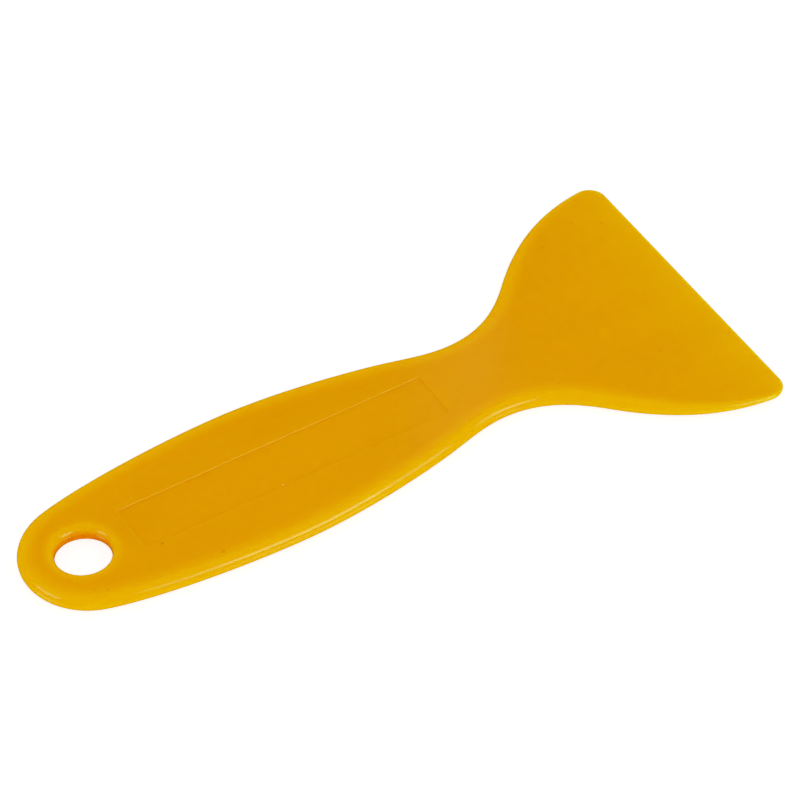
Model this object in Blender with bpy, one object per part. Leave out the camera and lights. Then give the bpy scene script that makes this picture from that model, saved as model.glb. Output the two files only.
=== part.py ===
"""Windshield ice scraper: a hand scraper moulded in one piece of yellow plastic.

One closed body carries the handle, the neck and the flared blade. It rests on its flat
underside. The origin is the middle of the bounding box at the height of that underside,
+X points along the handle to the scraping edge and +Z points up, in metres.
"""

from math import cos, pi, radians, sin

import bmesh
import bpy
from mathutils import Matrix, Vector
from mathutils.geometry import interpolate_bezier

MM = 0.001

# Overall sizes. Places along the scraper are measured from the butt of the handle.
LENGTH = 170.0 * MM
BLADE_WIDTH = 79.6 * MM
HANDLE_WIDTH = 41.4 * MM
WIDEST_AT = 57.7 * MM
NECK_WIDTH = 24.6 * MM
NECK_AT = 113.0 * MM
THICKNESS = 4.2 * MM
EDGE_THICKNESS = 1.0 * MM
TAPER_START = 135.0 * MM

# Blade corners: the side runs into a round corner at this angle to the length.
CORNER_RADIUS = 4.3 * MM
CORNER_ANGLE = 6.8
CORNER_STEPS = 7

# Rounded edge all round the outline: its reach inwards, in half thicknesses, and its facets.
EDGE_ROUND = 1.1
EDGE_STEPS = 8

# Hang hole with rounded lips.
HOLE_AT = 14.1 * MM
HOLE_RADIUS = 6.2 * MM
LIP_RADIUS = 1.9 * MM
LIP_STEPS = 4
HOLE_SIDES = 48

# Shallow panel sunk into the top of the grip.
PANEL_START = 26.0 * MM
PANEL_END = 102.0 * MM
PANEL_WIDTH = 12.7 * MM
PANEL_DEPTH = 0.15 * MM
PANEL_CORNER = 0.5 * MM
PANEL_CORNER_STEPS = 3

CURVE_STEPS = 10  # segments on each stretch of the side
CUTTER_MARGIN = 1.0 * MM  # how far a cutter stands out of the surface it cuts

YELLOW = (0.73, 0.33, 0.004, 1.0)


def clear_scene():
    for obj in list(bpy.data.objects):
        bpy.data.objects.remove(obj)


def yellow_plastic():
    material = bpy.data.materials.new("yellow_plastic")
    material.use_nodes = True
    shader = material.node_tree.nodes["Principled BSDF"]
    shader.inputs["Base Color"].default_value = YELLOW
    shader.inputs["Roughness"].default_value = 0.25
    shader.inputs["Metallic"].default_value = 0.0
    return material


def heading(degrees):
    return Vector((cos(radians(degrees)), sin(radians(degrees))))


def arc(centre, radius, start, end, steps):
    """Points on a circle from one angle to another, both ends included."""
    turns = [start + (end - start) * step / steps for step in range(steps + 1)]
    return [centre + radius * heading(turn) for turn in turns]


def half_outline():
    """The +Y side of the outline, from the butt to the scraping edge.

    Each node is (x, y, heading, reach back, reach on). The reaches are those of its Bezier handles.
    """
    corner = Vector((LENGTH - CORNER_RADIUS, BLADE_WIDTH / 2 - CORNER_RADIUS))
    corner_arc = arc(corner, CORNER_RADIUS, CORNER_ANGLE + 90, 0, CORNER_STEPS)
    nodes = [
        (0, 0, 90, 0, 6.6 * MM),
        (11.8 * MM, 15.5 * MM, 16.7, 7.9 * MM, 11.7 * MM),
        (WIDEST_AT, HANDLE_WIDTH / 2, 0, 13.4 * MM, 12.2 * MM),
        (95.7 * MM, 15.9 * MM, -12.8, 12.4 * MM, 6.0 * MM),
        (NECK_AT, NECK_WIDTH / 2, 0, 5.9 * MM, 8.6 * MM),
        (133.4 * MM, 22.3 * MM, 46.1, 8.1 * MM, 12.9 * MM),
        (*corner_arc[0], CORNER_ANGLE, 13.3 * MM, 0),
    ]
    points = []
    for (x, y, angle, _, reach_on), (next_x, next_y, next_angle, reach_back, _) in zip(nodes, nodes[1:]):
        start = Vector((x, y))
        end = Vector((next_x, next_y))
        handles = start + reach_on * heading(angle), end - reach_back * heading(next_angle)
        points += interpolate_bezier(start, *handles, end, CURVE_STEPS + 1)[:-1]
    return points + corner_arc


def full_outline():
    """The whole outline, counter-clockwise seen from above."""
    upper = half_outline()
    lower = [Vector((point.x, -point.y)) for point in upper[1:]]
    return upper[:1] + lower + upper[:0:-1]


def half_thickness(x):
    """Half the thickness at a place along the scraper: even, then thinning to the scraping edge."""
    share = max(0, (x - TAPER_START) / (LENGTH - TAPER_START))
    return (THICKNESS + (EDGE_THICKNESS - THICKNESS) * share) / 2


def edge_rings(outline):
    """The outline drawn in along an elliptic rounding, from the underside to the top."""
    count = len(outline)
    rings = []
    for step in range(EDGE_STEPS + 1):
        turn = pi * (step / EDGE_STEPS - 0.5)
        ring = []
        for index, point in enumerate(outline):
            along = (outline[(index + 1) % count] - outline[index - 1]).normalized()
            inwards = Vector((-along.y, along.x))
            inset = EDGE_ROUND * half_thickness(point.x) * (1 - cos(turn))
            ring.append((point + inset * inwards).to_3d() + Vector((0, 0, THICKNESS / 2 * sin(turn))))
        rings.append(ring)
    return rings


def lip_rings():
    """Circles down the hang hole, flaring at both mouths and standing out of both faces."""
    profile = []
    for step in range(LIP_STEPS + 1):
        turn = pi / 2 * step / LIP_STEPS
        radius = HOLE_RADIUS + LIP_RADIUS * (1 - cos(turn))
        profile.append(Vector((radius, THICKNESS / 2 - LIP_RADIUS * (1 - sin(turn)))))
    last_slope = profile[-1] - profile[-2]
    profile[-1] = profile[-2] + 3 * last_slope
    both_ways = [Vector((radius, -height)) for radius, height in reversed(profile)] + profile
    turns = [2 * pi * side / HOLE_SIDES for side in range(HOLE_SIDES)]
    return [
        [Vector((HOLE_AT + radius * cos(turn), radius * sin(turn), height)) for turn in turns]
        for radius, height in both_ways
    ]


def panel_rings():
    """A rounded rectangle at the panel's floor and the same one above the top face."""
    left = PANEL_START + PANEL_CORNER
    right = PANEL_END - PANEL_CORNER
    side = PANEL_WIDTH / 2 - PANEL_CORNER
    corners = [(right, side, 0), (left, side, 90), (left, -side, 180), (right, -side, 270)]
    rectangle = []
    for x, y, start in corners:
        rectangle += arc(Vector((x, y)), PANEL_CORNER, start, start + 90, PANEL_CORNER_STEPS)
    heights = THICKNESS / 2 - PANEL_DEPTH, THICKNESS / 2 + CUTTER_MARGIN
    return [[Vector((point.x, point.y, height)) for point in rectangle] for height in heights]


def shell_of(rings):
    """A closed bmesh through counter-clockwise rings stacked upwards, with flat ends."""
    bm = bmesh.new()
    loops = [[bm.verts.new(point) for point in ring] for ring in rings]
    for low, high in zip(loops, loops[1:]):
        for index in range(len(low)):
            bm.faces.new((low[index - 1], low[index], high[index], high[index - 1]))
    bm.faces.new(reversed(loops[0]))
    bm.faces.new(loops[-1])
    return bm


def taper_blade(bm):
    """Folds both faces across the flare and thins the blade beyond down to the scraping edge."""
    everything = bm.verts[:] + bm.edges[:] + bm.faces[:]
    fold = Vector((TAPER_START, 0, 0))
    bmesh.ops.bisect_plane(bm, geom=everything, dist=1e-7, plane_co=fold, plane_no=(1, 0, 0))
    for vert in bm.verts:
        vert.co.z *= half_thickness(vert.co.x) / half_thickness(0)


def add_object(name, bm):
    """A mesh object made from bm, moved so that the origin is under the middle of the scraper."""
    bm.transform(Matrix.Translation((-LENGTH / 2, 0, THICKNESS / 2)))
    mesh = bpy.data.meshes.new(name)
    bm.to_mesh(mesh)
    bm.free()
    obj = bpy.data.objects.new(name, mesh)
    bpy.context.scene.collection.objects.link(obj)
    return obj


def cut(obj, cutter):
    cutter.hide_render = True
    cutter.display_type = "WIRE"
    modifier = obj.modifiers.new(cutter.name, "BOOLEAN")
    modifier.operation = "DIFFERENCE"
    modifier.object = cutter


def build_scraper():
    bm = shell_of(edge_rings(full_outline()))
    taper_blade(bm)
    scraper = add_object("scraper_body", bm)
    scraper.data.materials.append(yellow_plastic())
    scraper.data.shade_smooth()
    scraper.data.set_sharp_from_angle(angle=radians(35))
    cut(scraper, add_object("hang_hole_cutter", shell_of(lip_rings())))
    cut(scraper, add_object("panel_cutter", shell_of(panel_rings())))


clear_scene()
build_scraper()
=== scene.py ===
"""Looks of the windshield ice scraper: a fine moulded surface, yellow plastic and a pale studio.

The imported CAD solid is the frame. The surface made here has the same outline, thickness, hang
hole and sunk panel, with finer curves, and it stands in for the CAD node scraper_body.

Lengths are in millimetres of the real scraper unless they say metres, and places along it are
measured from the butt of the handle. The frame's own box turns them into metres. Angles are in
degrees.
"""

from math import cos, pi, radians, sin

import bmesh
import bpy
from mathutils import Matrix, Vector
from mathutils.geometry import delaunay_2d_cdt, interpolate_bezier
from mathutils.kdtree import KDTree


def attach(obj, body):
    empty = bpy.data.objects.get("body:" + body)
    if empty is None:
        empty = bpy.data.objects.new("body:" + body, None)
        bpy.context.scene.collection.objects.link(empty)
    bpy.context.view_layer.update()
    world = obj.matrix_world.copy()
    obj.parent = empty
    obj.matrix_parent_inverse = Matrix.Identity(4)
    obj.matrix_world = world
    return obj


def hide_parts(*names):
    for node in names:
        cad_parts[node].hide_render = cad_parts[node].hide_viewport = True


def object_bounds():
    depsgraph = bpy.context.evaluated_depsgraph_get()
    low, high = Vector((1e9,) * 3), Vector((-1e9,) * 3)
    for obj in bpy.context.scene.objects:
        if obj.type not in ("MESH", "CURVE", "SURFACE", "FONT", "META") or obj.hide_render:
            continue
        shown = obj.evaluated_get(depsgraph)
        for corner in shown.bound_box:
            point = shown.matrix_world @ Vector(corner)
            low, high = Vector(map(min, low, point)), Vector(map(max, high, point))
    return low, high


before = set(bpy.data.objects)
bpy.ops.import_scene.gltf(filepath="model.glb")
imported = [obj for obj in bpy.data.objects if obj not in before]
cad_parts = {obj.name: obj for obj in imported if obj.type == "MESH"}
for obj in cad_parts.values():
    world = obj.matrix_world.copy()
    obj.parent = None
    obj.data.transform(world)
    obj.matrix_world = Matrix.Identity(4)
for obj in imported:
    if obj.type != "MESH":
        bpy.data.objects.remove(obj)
cad_low, cad_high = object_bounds()

# ---------------------------------------------------------------- sizes

LENGTH = 170.0
MM = (cad_high.x - cad_low.x) / LENGTH
THICKNESS = (cad_high.z - cad_low.z) / MM
BLADE_WIDTH = (cad_high.y - cad_low.y) / MM

HANDLE_WIDTH = 41.4
WIDEST_AT = 57.7
NECK_WIDTH = 24.6
NECK_AT = 113.0
EDGE_THICKNESS = 1.0
TAPER_START = 135.0
TAPER_BLEND = 6.0  # half the length over which the flat faces bend into the taper

CORNER_RADIUS = 4.3
CORNER_ANGLE = 6.8  # of the blade's side to the length, where it runs into the round corner

EDGE_ROUND = 1.1  # reach of the edge rounding inwards, in half thicknesses
PARTING_RIDGE = 0.01  # how far the line where the mould's halves met stands out round the edge

HOLE_CENTRE = Vector((14.1, 0))
HOLE_RADIUS = 6.2
LIP_RADIUS = 1.9
MOUTH_RADIUS = HOLE_RADIUS + LIP_RADIUS

PANEL_START = 26.0
PANEL_END = 102.0
PANEL_WIDTH = 12.7
PANEL_DEPTH = 0.15
PANEL_CORNER = 0.6
PANEL_SLOPE = 0.2  # width of the rounded step down to the panel's floor

# Round marks of the mould's ejector pins, pressed into the underside.
PIN_PLACES = [(34.0, 0.0), (70.0, 0.0), (106.0, 0.0), (148.0, 20.0), (148.0, -20.0)]
PIN_RADIUS = 2.5
PIN_DEPTH = 0.06
PIN_SLOPE = 0.2

# Fineness of the surface.
CURVE_STEPS = 40  # on each stretch of the side
CORNER_STEPS = 20
EDGE_SPACING = 1.0  # between points of the straight scraping edge
ROUND_STEPS = 32  # over the rounded edge, from the underside to the top
HOLE_SIDES = 120
LIP_STEPS = 12
STEP_RINGS = 6  # rings across the rounded step of the panel and of a pin's mark
PANEL_CORNER_STEPS = 6
PIN_SIDES = 32
FLAT_MARGIN = 0.1  # a ring this far into the flat face keeps a rounding's shading off it
GLOW_RINGS = [0.9, 1.8, 2.9]  # rings further into the thick part that carry the rim's painted glow
GLOW_WIDTH = 2.4  # reach of the rim's painted glow inwards, in half thicknesses
GRID_SPACING = 2.0  # between the inner points of the flat faces
GRID_CLEARANCE = 0.6  # how far these stay from the hole's mouth and from the marks' steps
SAME_POINT = 1e-5  # points of a flat face that are closer than this become one
SAME_VERTEX = 1e-3  # so do vertices where the flat faces, the edge and the lips meet


# ---------------------------------------------------------------- outline

def heading(degrees):
    return Vector((cos(radians(degrees)), sin(radians(degrees))))


def arc(centre, radius, start, end, steps):
    turns = [start + (end - start) * step / steps for step in range(steps + 1)]
    return [centre + radius * heading(turn) for turn in turns]


def circle(centre, radius, sides):
    return [centre + radius * heading(360 * side / sides) for side in range(sides)]


def half_outline():
    """The +Y side from the butt to the middle of the scraping edge.

    Each node is (x, y, heading, reach back, reach on). The reaches are those of its Bezier handles.
    """
    corner = Vector((LENGTH - CORNER_RADIUS, BLADE_WIDTH / 2 - CORNER_RADIUS))
    corner_arc = arc(corner, CORNER_RADIUS, CORNER_ANGLE + 90, 0, CORNER_STEPS)
    nodes = [
        (0, 0, 90, 0, 6.6),
        (11.8, 15.5, 16.7, 7.9, 11.7),
        (WIDEST_AT, HANDLE_WIDTH / 2, 0, 13.4, 12.2),
        (95.7, 15.9, -12.8, 12.4, 6.0),
        (NECK_AT, NECK_WIDTH / 2, 0, 5.9, 8.6),
        (133.4, 22.3, 46.1, 8.1, 12.9),
        (*corner_arc[0], CORNER_ANGLE, 13.3, 0),
    ]
    points = []
    for node, next_node in zip(nodes, nodes[1:]):
        x, y, angle, _, reach_on = node
        next_x, next_y, next_angle, reach_back, _ = next_node
        start = Vector((x, y))
        end = Vector((next_x, next_y))
        handles = start + reach_on * heading(angle), end - reach_back * heading(next_angle)
        points += interpolate_bezier(start, *handles, end, CURVE_STEPS + 1)[:-1]
    steps = round(corner.y / EDGE_SPACING)
    straight = [Vector((LENGTH, corner.y * (1 - step / steps))) for step in range(1, steps + 1)]
    return points + corner_arc + straight


def full_outline():
    """The whole outline, counter-clockwise seen from above."""
    upper = half_outline()
    lower = [Vector((point.x, -point.y)) for point in upper[1:-1]]
    return upper[:1] + lower + upper[:0:-1]


def panel_outline(outset):
    """The panel's rounded rectangle, drawn outwards by outset."""
    left = PANEL_START + PANEL_CORNER
    right = PANEL_END - PANEL_CORNER
    side = PANEL_WIDTH / 2 - PANEL_CORNER
    corners = [(right, side, 0), (left, side, 90), (left, -side, 180), (right, -side, 270)]
    radius = PANEL_CORNER + outset
    points = []
    for x, y, start in corners:
        points += arc(Vector((x, y)), radius, start, start + 90, PANEL_CORNER_STEPS)
    return points


def inside(point, polygon):
    """True where a point is inside a closed outline."""
    within = False
    for start, end in zip(polygon, polygon[1:] + polygon[:1]):
        if (start.y > point.y) != (end.y > point.y):
            if point.x < start.x + (point.y - start.y) / (end.y - start.y) * (end.x - start.x):
                within = not within
    return within


# ---------------------------------------------------------------- heights of the two faces

def half_thickness(x):
    """Even as far as the flare, then a rounded bend into a straight taper to the scraping edge."""
    slope = (THICKNESS - EDGE_THICKNESS) / (LENGTH - TAPER_START) / 2
    past = x - TAPER_START
    if abs(past) < TAPER_BLEND:
        past = (past + TAPER_BLEND) ** 2 / (4 * TAPER_BLEND)
    return THICKNESS / 2 - slope * max(0, past)


def panel_distance(x, y):
    """How far a point is outside the panel's outline, negative inside it."""
    across = abs(y) - (PANEL_WIDTH / 2 - PANEL_CORNER)
    along = abs(x - (PANEL_START + PANEL_END) / 2) - ((PANEL_END - PANEL_START) / 2 - PANEL_CORNER)
    outer = Vector((max(along, 0), max(across, 0))).length
    return outer + min(max(along, across), 0) - PANEL_CORNER


def pin_distance(x, y):
    """How far a point is outside the nearest ejector pin's mark, negative inside it."""
    return min(Vector((x - pin_x, y - pin_y)).length for pin_x, pin_y in PIN_PLACES) - PIN_RADIUS


def sunk(distance, slope, depth):
    """Depth below the face at that distance outside a mark with a rounded step round it."""
    share = min(max(distance / slope + 0.5, 0), 1)
    return depth * (1 - share * share * (3 - 2 * share))


def top_height(x, y):
    return half_thickness(x) - sunk(panel_distance(x, y), PANEL_SLOPE, PANEL_DEPTH)


def bottom_height(x, y):
    return sunk(pin_distance(x, y), PIN_SLOPE, PIN_DEPTH) - half_thickness(x)


# ---------------------------------------------------------------- surface

def edge_rings(outline):
    """Rings round the outline from the underside to the top, each a list of points.

    Only the middle one reaches the outline. The others stay inside it by the parting ridge.
    """
    count = len(outline)
    normals = []
    for index in range(count):
        along = (outline[(index + 1) % count] - outline[index - 1]).normalized()
        normals.append(Vector((along.y, -along.x)))
    turns = [pi * (step / ROUND_STEPS - 0.5) for step in range(ROUND_STEPS + 1)]
    rounded = [(turn, PARTING_RIDGE if turn else 0) for turn in turns]
    flats = [FLAT_MARGIN] + GLOW_RINGS
    underneath = [(turns[0], extra) for extra in reversed(flats)]
    on_top = [(turns[-1], extra) for extra in flats]
    rings = []
    for turn, extra in underneath + rounded + on_top:
        ring = []
        for point, outwards in zip(outline, normals):
            inset = EDGE_ROUND * half_thickness(point.x) * (1 - cos(turn)) + extra
            if extra in GLOW_RINGS:  # closer together where the blade is thin
                inset += extra * (half_thickness(point.x) / half_thickness(0) - 1)
            moved = point - inset * outwards
            ring.append(Vector((moved.x, moved.y, half_thickness(moved.x) * sin(turn))))
        rings.append(ring)
    return rings


def lip_rings():
    """Circles up the hang hole, from the rounded lip underneath to the one on top."""
    profile = []
    for step in range(LIP_STEPS + 1):
        turn = pi / 2 * step / LIP_STEPS
        radius = HOLE_RADIUS + LIP_RADIUS * (1 - cos(turn))
        profile.append((radius, THICKNESS / 2 - LIP_RADIUS * (1 - sin(turn))))
    profile.append((MOUTH_RADIUS + FLAT_MARGIN, THICKNESS / 2))
    both = [(radius, -height) for radius, height in reversed(profile)] + profile
    rings = []
    for radius, height in both:
        flat = circle(HOLE_CENTRE, radius, HOLE_SIDES)
        rings.append([point.to_3d() + Vector((0, 0, height)) for point in flat])
    return rings


def step_outsets(slope):
    """Where the rings of a rounded step lie across it, with one on the flat at each side."""
    across = [slope * (ring / STEP_RINGS - 0.5) for ring in range(STEP_RINGS + 1)]
    return [across[0] - FLAT_MARGIN] + across + [across[-1] + FLAT_MARGIN]


def grid_points(outline):
    """Points of an even grid inside the outline, clear of the hang hole and the marks' steps."""
    found = []
    for row in range(round(BLADE_WIDTH / GRID_SPACING) + 1):
        for column in range(round(LENGTH / GRID_SPACING) + 1):
            point = Vector((column * GRID_SPACING, row * GRID_SPACING - BLADE_WIDTH / 2))
            to_step = min(abs(panel_distance(*point)), abs(pin_distance(*point)))
            to_mouth = (point - HOLE_CENTRE).length - MOUTH_RADIUS
            if min(to_step, to_mouth) >= GRID_CLEARANCE and inside(point, outline):
                found.append(point)
    return found


def add_cap(bm, outline, mouth, marks, height, facing_up):
    """A triangulated face between the outline and the hole's mouth, at height(x, y).

    The marks are closed loops that its edges follow.
    """
    points = []
    edges = []
    for loop in [outline, mouth] + marks:
        first = len(points)
        points += loop
        edges += [(first + i, first + (i + 1) % len(loop)) for i in range(len(loop))]
    points += grid_points(outline)
    flat, _, triangles, *_ = delaunay_2d_cdt(points, edges, [], 0, SAME_POINT)
    verts = [bm.verts.new((point.x, point.y, height(point.x, point.y))) for point in flat]
    for triangle in triangles:
        middle = sum((flat[i] for i in triangle), Vector((0, 0))) / 3
        in_hole = (middle - HOLE_CENTRE).length < MOUTH_RADIUS + FLAT_MARGIN
        if not in_hole and inside(middle, outline):
            bm.faces.new([verts[i] for i in (triangle if facing_up else reversed(triangle))])
    bmesh.ops.delete(bm, geom=[vert for vert in verts if not vert.link_faces], context="VERTS")


def add_rings(bm, rings):
    """Quads between neighbouring rings that run counter-clockwise seen from above, facing out."""
    loops = [[bm.verts.new(point) for point in ring] for ring in rings]
    for low, high in zip(loops, loops[1:]):
        for index in range(len(low)):
            bm.faces.new((low[index - 1], low[index], high[index], high[index - 1]))


def moulded_surface(outline):
    """The whole closed surface. Its origin is the tip of the butt, at half the thickness."""
    bm = bmesh.new()
    rings = edge_rings(outline)
    lips = lip_rings()
    add_rings(bm, rings)
    add_rings(bm, [ring[::-1] for ring in lips])
    panel_steps = [panel_outline(outset) for outset in step_outsets(PANEL_SLOPE)]
    pin_steps = [
        circle(Vector(pin), PIN_RADIUS + outset, PIN_SIDES)
        for pin in PIN_PLACES
        for outset in step_outsets(PIN_SLOPE)
    ]
    top_edge = [point.xy for point in rings[-1]]
    bottom_edge = [point.xy for point in rings[0]]
    mouth = [point.xy for point in lips[-1]]
    add_cap(bm, top_edge, mouth, panel_steps, top_height, True)
    add_cap(bm, bottom_edge, mouth, pin_steps, bottom_height, False)
    bmesh.ops.remove_doubles(bm, verts=bm.verts[:], dist=SAME_VERTEX)
    return bm


def rim_shares(points, outline):
    """For each point, 0 on the open faces to 1 on the outline."""
    tree = KDTree(len(outline))
    for index, point in enumerate(outline):
        tree.insert(point.to_3d(), index)
    tree.balance()
    shares = []
    for point in points:
        away = tree.find((point.x, point.y, 0))[2]
        shares.append(max(0, 1 - away / (GLOW_WIDTH * half_thickness(point.x))))
    return shares


def build_body():
    outline = full_outline()
    bm = moulded_surface(outline)
    shares = rim_shares([vert.co for vert in bm.verts], outline)
    butt = Vector((cad_low.x, 0, (cad_low.z + cad_high.z) / 2))
    bm.transform(Matrix.Translation(butt) @ Matrix.Scale(MM, 4))
    mesh = bpy.data.meshes.new("moulded_body")
    bm.to_mesh(mesh)
    bm.free()
    mesh.shade_smooth()
    mesh.attributes.new("rim", "FLOAT", "POINT").data.foreach_set("value", shares)
    body = bpy.data.objects.new("moulded_body", mesh)
    bpy.context.scene.collection.objects.link(body)
    return body


# ---------------------------------------------------------------- plastic

YELLOW = (0.655, 0.313, 0.0003, 1)
# painted glow of light that shines through the thin blade
PAINTED_THIN_GLOW_YELLOW = (0.62, 0.338, 0.0005, 1)
# painted glow: the light that spreads under the surface at the rims and the hang hole's lips
PAINTED_GLOW_YELLOW = (0.69, 0.347, 0.0005, 1)
# painted shade down the hang hole's wall
PAINTED_SHADE_ORANGE = (0.58, 0.17, 0.0003, 1)
REFRACTIVE_INDEX = 1.49
LIGHT_REACH = 7.0  # how far light spreads under the surface
THIN_LIGHT_REACH = 3.0  # the same at the scraping edge
LIGHT_SPREAD = (1.0, 1.0, 0.1)  # share of that reach for red, green and blue

# Shares of the way from the open face to the outline where the rim's painted glow comes and goes.
GLOW_COMES = (0.0, 0.5)
GLOW_GOES = (0.75, 1.0)

# Distances from the hang hole's axis, and heights in its wall, over which its painted glow and
# shade fade.
LIP_FADE = (HOLE_RADIUS + 0.5 * LIP_RADIUS, HOLE_RADIUS + 1.9 * LIP_RADIUS)
WALL_FADE = (HOLE_RADIUS + 0.1 * LIP_RADIUS, HOLE_RADIUS + 0.6 * LIP_RADIUS)
WALL_HEIGHT_FADE = (0.4 * THICKNESS, 0.95 * THICKNESS)

# Sizes of the blobs of each noise along, across and through the scraper, and how much they change.
FLOW_SIZE = (45.0, 14.0, 14.0)
FLOW_CHANGE = 0.02
MOTTLE_SIZE = (2.5, 2.0, 2.0)
MOTTLE_CHANGE = 0.01
COLOUR_NOISE = (0.25, 0.75)  # values of those two noises that give the whole change
HANDLING_SIZE = (18.0, 12.0, 12.0)
HANDLING_NOISE = (0.35, 0.7)  # values of that noise that give the roughness its whole range
ROUGHNESS_RANGE = (0.07, 0.11)
SKIN_SIZE = (0.9, 0.9, 0.9)
SKIN_HEIGHT = 0.002

# Scratches behind the scraping edge.
WORN_LENGTH = 14.0
SCRATCH_SIZE = (9.0, 0.25, 9.0)
SCRATCH_NOISE = (0.58, 0.72)  # values of that noise from where a scratch begins to its middle
SCRATCH_DEPTH = 0.004
SCRATCH_ROUGHNESS = 0.15

# Small inclusions in the top face: x, y, radius and how strong. Most are dark, and one is pale.
SPECKS = [
    (29.4, -7.4, 0.28, 0.45),
    (39.3, -16.5, 0.45, 0.25),
    (13.1, -12.9, 0.25, 0.30),
    (10.9, -11.5, 0.22, 0.25),
    (164.0, 27.7, 0.25, 0.30),
    (158.0, 31.1, 0.25, 0.25),
    (148.0, 27.3, 0.25, 0.25),
    (127.1, -12.2, 0.25, 0.25),
    (152.1, -14.8, 0.25, 0.25),
    (72.5, -18.0, 0.22, 0.15),
    (104.0, 9.3, 0.25, 0.15),
]
PALE_SPECKS = [(60.1, -6.2, 0.30, 0.6)]
SPECK_COLOUR = (0.20, 0.075, 0.002, 1)
PALE_SPECK_COLOUR = (0.85, 0.50, 0.20, 1)
SPECK_FADE = 0.5  # how far a speck fades inwards and outwards from its radius, as a share of it


def set_inputs(tree, node, inputs):
    """Links each input of a node where a socket is given, or else sets it."""
    for name, value in inputs.items():
        if isinstance(value, bpy.types.NodeSocket):
            tree.links.new(value, node.inputs[name])
        else:
            node.inputs[name].default_value = value


def add_node(tree, kind, inputs, **settings):
    node = tree.nodes.new(kind)
    for name, value in settings.items():
        setattr(node, name, value)
    set_inputs(tree, node, inputs)
    return node


def vector_maths(tree, operation, first, second):
    """The outputs of a vector operation: 0 is its vector and "Value" its number."""
    inputs = {0: first, 1: second}
    return add_node(tree, "ShaderNodeVectorMath", inputs, operation=operation).outputs


def real_place(tree):
    """The place on the scraper: x from the butt, y from the middle line, z from the underside."""
    at = add_node(tree, "ShaderNodeTexCoord", {}).outputs["Object"]
    scaled = vector_maths(tree, "MULTIPLY", at, Vector((1, 1, 1)) / MM)[0]
    return vector_maths(tree, "ADD", scaled, Vector((-cad_low.x, 0, -cad_low.z)) / MM)[0]


def noise(tree, place, stretch, detail=2.0, roughness=0.5):
    """Even noise round 0.5 whose blobs are about that many millimetres along x, y and z."""
    shares = Vector((1 / stretch[0], 1 / stretch[1], 1 / stretch[2]))
    squeezed = vector_maths(tree, "MULTIPLY", place, shares)[0]
    inputs = {"Vector": squeezed, "Scale": 1.0, "Detail": detail, "Roughness": roughness}
    return add_node(tree, "ShaderNodeTexNoise", inputs).outputs["Fac"]


def ramp(tree, value, low, high, to_low, to_high, smooth=True):
    """Takes low..high to to_low..to_high and stays level beyond."""
    kind = "SMOOTHSTEP" if smooth else "LINEAR"
    inputs = {
        "Value": value,
        "From Min": low,
        "From Max": high,
        "To Min": to_low,
        "To Max": to_high,
    }
    return add_node(tree, "ShaderNodeMapRange", inputs, interpolation_type=kind).outputs["Result"]


def maths(tree, operation, first, second):
    return add_node(tree, "ShaderNodeMath", {0: first, 1: second}, operation=operation).outputs[0]


def blend_colour(tree, share, first, second, kind="MIX"):
    """A mix of two colours. Sockets 0, 6 and 7 are the share and the colours, and 2 the result."""
    inputs = {0: share, 6: first, 7: second}
    node = add_node(tree, "ShaderNodeMix", inputs, data_type="RGBA", blend_type=kind)
    return node.outputs[2]


def specks(tree, place, spots):
    """How much of each point is covered by a speck, 0 to 1."""
    covered = 0.0
    for x, y, radius, strength in spots:
        spot = Vector((x, y, THICKNESS / 2 + half_thickness(x)))
        away = vector_maths(tree, "DISTANCE", place, spot)["Value"]
        whole, gone = (1 - SPECK_FADE) * radius, (1 + SPECK_FADE) * radius
        covered = maths(tree, "MAXIMUM", ramp(tree, away, whole, gone, strength, 0.0), covered)
    return covered


def painted_hole_glow_and_shade(tree, place, z, colour):
    """Paler lips of the hang hole from a painted glow, and a deeper orange down its wall from
    painted shade.
    """
    level = vector_maths(tree, "MULTIPLY", place, (1, 1, 0))[0]
    away = vector_maths(tree, "DISTANCE", level, HOLE_CENTRE.to_3d())["Value"]
    lip = ramp(tree, away, *LIP_FADE, 1.0, 0.0)
    wall = ramp(tree, away, *WALL_FADE, 1.0, 0.0)
    low = ramp(tree, z, *WALL_HEIGHT_FADE, 1.0, 0.0)
    colour = blend_colour(tree, lip, colour, PAINTED_GLOW_YELLOW)
    return blend_colour(tree, maths(tree, "MULTIPLY", wall, low), colour, PAINTED_SHADE_ORANGE)


def uneven_shade(tree, place):
    """A grey round 1 for the flow marks and the mottling."""
    flow = noise(tree, place, FLOW_SIZE, detail=3.0)
    flow = ramp(tree, flow, *COLOUR_NOISE, 1 - FLOW_CHANGE, 1 + FLOW_CHANGE)
    mottle = noise(tree, place, MOTTLE_SIZE)
    mottle = ramp(tree, mottle, *COLOUR_NOISE, 1 - MOTTLE_CHANGE, 1 + MOTTLE_CHANGE)
    change = maths(tree, "MULTIPLY", flow, mottle)
    grey = {"Red": change, "Green": change, "Blue": change}
    return add_node(tree, "ShaderNodeCombineColor", grey).outputs[0]


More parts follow.
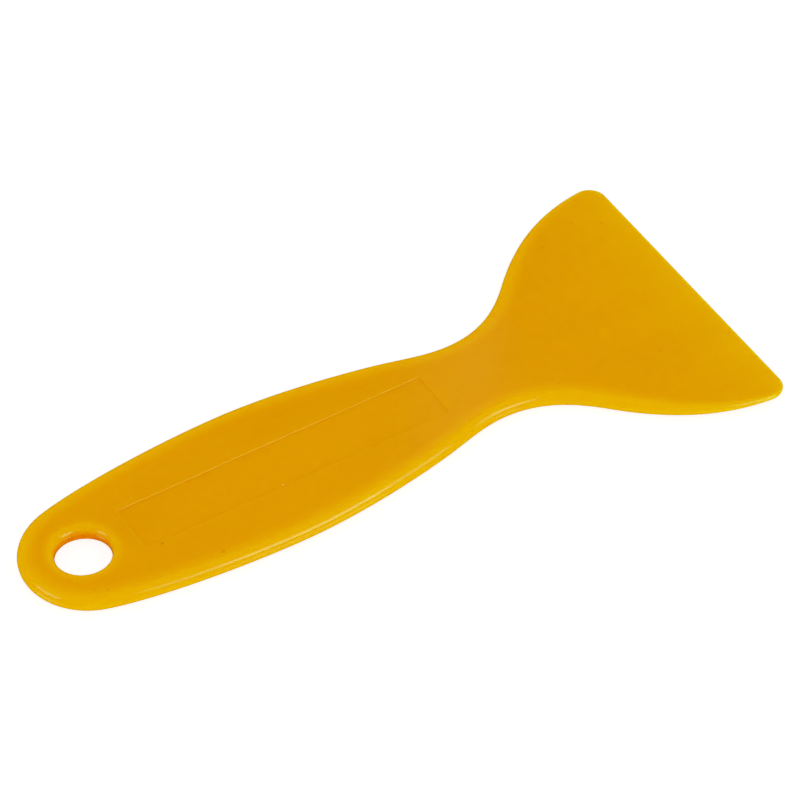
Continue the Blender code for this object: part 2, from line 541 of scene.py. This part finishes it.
def plastic_colour(tree, place, x, z):
    """Uneven yellow with a few specks, paler from a painted glow at the rims and the thin blade."""
    # painted glow round the rim: it comes in from the open face and is gone again at the outline
    rim = add_node(tree, "ShaderNodeAttribute", {}, attribute_name="rim").outputs["Fac"]
    comes = ramp(tree, rim, *GLOW_COMES, 0.0, 1.0)
    goes = ramp(tree, rim, *GLOW_GOES, 1.0, 0.0)
    colour = blend_colour(tree, maths(tree, "MULTIPLY", comes, goes), YELLOW, PAINTED_GLOW_YELLOW)
    colour = painted_hole_glow_and_shade(tree, place, z, colour)
    # painted glow of light through the blade, growing towards the scraping edge
    thin = ramp(tree, x, TAPER_START, LENGTH, 0.0, 1.0, smooth=False)
    colour = blend_colour(tree, thin, colour, PAINTED_THIN_GLOW_YELLOW)
    colour = blend_colour(tree, 1.0, colour, uneven_shade(tree, place), kind="MULTIPLY")
    colour = blend_colour(tree, specks(tree, place, SPECKS), colour, SPECK_COLOUR)
    return blend_colour(tree, specks(tree, place, PALE_SPECKS), colour, PALE_SPECK_COLOUR)


def wear(tree, place, x):
    """Fine scratches that run back from the scraping edge, 0 to 1."""
    worn = ramp(tree, x, LENGTH - WORN_LENGTH, LENGTH, 0.0, 1.0)
    lines = noise(tree, place, SCRATCH_SIZE, detail=3.0, roughness=0.6)
    return maths(tree, "MULTIPLY", worn, ramp(tree, lines, *SCRATCH_NOISE, 0.0, 1.0))


def yellow_plastic():
    material = bpy.data.materials.new("yellow_plastic")
    material.use_nodes = True
    tree = material.node_tree
    place = real_place(tree)
    x, _, z = add_node(tree, "ShaderNodeSeparateXYZ", {0: place}).outputs
    scratches = wear(tree, place, x)
    handled = noise(tree, place, HANDLING_SIZE, detail=4.0)
    handled = ramp(tree, handled, *HANDLING_NOISE, *ROUGHNESS_RANGE)
    scratched = maths(tree, "MULTIPLY", scratches, SCRATCH_ROUGHNESS)
    skin = maths(tree, "MULTIPLY", noise(tree, place, SKIN_SIZE), SKIN_HEIGHT)
    scratched_skin = maths(tree, "ADD", skin, maths(tree, "MULTIPLY", scratches, -SCRATCH_DEPTH))
    bump = {"Strength": 1.0, "Distance": MM, "Height": scratched_skin}
    reach = LIGHT_REACH * MM, THIN_LIGHT_REACH * MM
    set_inputs(tree, tree.nodes["Principled BSDF"], {
        "Base Color": plastic_colour(tree, place, x, z),
        "Roughness": maths(tree, "ADD", handled, scratched),
        "Normal": add_node(tree, "ShaderNodeBump", bump).outputs[0],
        "IOR": REFRACTIVE_INDEX,
        "Subsurface Weight": 1.0,
        "Subsurface Radius": LIGHT_SPREAD,
        "Subsurface Scale": ramp(tree, x, TAPER_START, LENGTH, *reach, smooth=False),
    })
    return material


# ---------------------------------------------------------------- studio

CAMERA_AZIMUTH = -29.78
CAMERA_ELEVATION = 44.94
CAMERA_ROLL = 1.99
CAMERA_DISTANCE = 1029.9
CAMERA_LENS = 211.3
CAMERA_ASIDE = 7.10  # how far the camera's axis passes to the right of the scraper's middle
CAMERA_ABOVE = 6.59
SENSOR_WIDTH = 36
CAMERA_SIGHT = 20  # metres, how far the camera sees

# How the camera shows light: in step up to a knee, then slower and slower up to white.
RESPONSE_WHITE = 1.4
RESPONSE = [(0.66, 0.66), (0.80, 0.74), (1.15, 0.86)]
COMBINED_CURVE = 3  # the one that acts on red, green and blue alike

# Softboxes: azimuth, elevation, then distance, width and height in metres, and radiance. The two
# mirrored ones are dim stand-ins for what a glossy table would mirror of the others. They are
# below the floor, so they show in reflections only.
SOFTBOXES = {
    "key_right": (23, 30, 1.2, 0.95, 0.6, 1.6),
    "key_right_core": (22, 27, 1.15, 0.5, 0.4, 2.4),
    "key_left": (-97, 29, 1.2, 0.7, 0.45, 2.0),
    "mirrored_right": (22, -25, 1.2, 0.5, 0.5, 0.6),
    "mirrored_left": (-97, -26, 1.2, 0.6, 0.6, 0.6),
}
SOFTBOX_COLOUR = (1.0, 1.0, 0.66)

# Dim upright strips whose reflections lie across the neck, from SHEEN_START to each of SHEEN_ENDS.
SHEEN_START = 119.5
SHEEN_ENDS = [96.0, 108.0]
SHEEN_RADIANCE = 0.14
SHEEN_COLOUR = (1.0, 1.0, 0.45)
SHEEN_DISTANCE = 1.2  # metres
SHEEN_HEIGHT = 0.8  # metres

FLOOR_RADIUS = 6  # metres
FLOOR_SIDES = 96
FLOOR_GAP = 0.05  # keeps the floor just below the underside
FLOOR_GREY = 0.35
FLOOR_ROUGHNESS = 0.9
FLOOR_GLOW = 1.1
WORLD_STRENGTH = 0.97


def view_axes(azimuth, elevation):
    """Right, up and back of someone who looks at the scraper from there."""
    turn, rise = radians(azimuth), radians(elevation)
    back = Vector((sin(turn) * cos(rise), -cos(turn) * cos(rise), sin(rise)))
    right = Vector((cos(turn), sin(turn), 0))
    return right, back.cross(right), back


def put_in_scene(obj, axes, location):
    """Links the object, with its own x, y and z along those axes."""
    obj.matrix_world = Matrix.Translation(location) @ Matrix(axes).transposed().to_4x4()
    bpy.context.scene.collection.objects.link(obj)


def add_camera(centre):
    right, up, back = view_axes(CAMERA_AZIMUTH, CAMERA_ELEVATION)
    roll = radians(CAMERA_ROLL)
    right, up = cos(roll) * right - sin(roll) * up, sin(roll) * right + cos(roll) * up
    eye = centre + (CAMERA_ASIDE * right + CAMERA_ABOVE * up + CAMERA_DISTANCE * back) * MM
    data = bpy.data.cameras.new("camera")
    data.lens = CAMERA_LENS
    data.sensor_width = SENSOR_WIDTH
    data.clip_end = CAMERA_SIGHT
    camera = bpy.data.objects.new("camera", data)
    put_in_scene(camera, (right, up, back), eye)
    bpy.context.scene.camera = camera
    return eye, right


def add_light(name, axes, location, width, height, radiance, colour):
    """A rectangular light that shines against the last of its axes."""
    data = bpy.data.lights.new(name, "AREA")
    data.shape = "RECTANGLE"
    data.size = width
    data.size_y = height
    data.energy = radiance * pi * width * height
    data.color = colour
    put_in_scene(bpy.data.objects.new(name, data), axes, location)


def add_softboxes(centre):
    for name, row in SOFTBOXES.items():
        azimuth, elevation, distance, width, height, radiance = row
        axes = view_axes(azimuth, elevation)
        location = centre + distance * axes[2]
        add_light(name, axes, location, width, height, radiance, SOFTBOX_COLOUR)


def add_sheen(eye, right):
    """The strips, where the camera sees them mirrored in the flat top of the neck."""
    for end in SHEEN_ENDS:
        spot = Vector((cad_low.x + (SHEEN_START + end) / 2 * MM, 0, cad_high.z))
        sight = (spot - eye).normalized()
        mirrored = Vector((sight.x, sight.y, -sight.z))
        across = Vector((right.x, right.y, -right.z))
        axes = across, mirrored.cross(across), mirrored
        width = (SHEEN_START - end) * MM * right.x * (1 + SHEEN_DISTANCE / (spot - eye).length)
        location = spot + SHEEN_DISTANCE * mirrored
        add_light("sheen", axes, location, width, SHEEN_HEIGHT, SHEEN_RADIANCE, SHEEN_COLOUR)


def add_floor():
    """A matt white floor that lights the scraper from below and doesn't show in its gloss."""
    bm = bmesh.new()
    bmesh.ops.create_circle(bm, cap_ends=True, segments=FLOOR_SIDES, radius=FLOOR_RADIUS)
    mesh = bpy.data.meshes.new("floor")
    bm.to_mesh(mesh)
    bm.free()
    material = bpy.data.materials.new("floor")
    material.use_nodes = True
    tree = material.node_tree
    set_inputs(tree, tree.nodes["Principled BSDF"], {
        "Base Color": (FLOOR_GREY, FLOOR_GREY, FLOOR_GREY, 1),
        "Roughness": FLOOR_ROUGHNESS,
        "Specular IOR Level": 0.0,
        "Emission Color": (1, 1, 1, 1),
        "Emission Strength": FLOOR_GLOW,
    })
    mesh.materials.append(material)
    floor = bpy.data.objects.new("floor", mesh)
    floor.location.z = cad_low.z - FLOOR_GAP * MM
    floor.visible_glossy = False
    bpy.context.scene.collection.objects.link(floor)


def add_world():
    world = bpy.data.worlds.new("studio")
    bpy.context.scene.world = world
    world.use_nodes = True
    background = {"Color": (1, 1, 1, 1), "Strength": WORLD_STRENGTH}
    set_inputs(world.node_tree, world.node_tree.nodes["Background"], background)
    world.cycles_visibility.glossy = False
    world.cycles.sampling_method = "NONE"


def set_camera_response(view):
    """Rolls bright colours off towards white as a camera does, and leaves the others alone."""
    view.use_curve_mapping = True
    mapping = view.curve_mapping
    mapping.white_level = (RESPONSE_WHITE,) * 3
    curve = mapping.curves[COMBINED_CURVE]
    curve.points[0].location = (0, 0)
    curve.points[1].location = (1, 1)
    for light, shown in RESPONSE:
        curve.points.new(light / RESPONSE_WHITE, shown)
    for point in curve.points:
        point.handle_type = "VECTOR"
    mapping.update()


def add_studio():
    scene = bpy.context.scene
    scene.view_settings.view_transform = "Standard"
    set_camera_response(scene.view_settings)
    centre = (cad_low + cad_high) / 2
    add_sheen(*add_camera(centre))
    add_world()
    add_floor()
    add_softboxes(centre)


body = build_body()
body.data.materials.append(yellow_plastic())
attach(body, "root")
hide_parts("scraper_body")
add_studio()
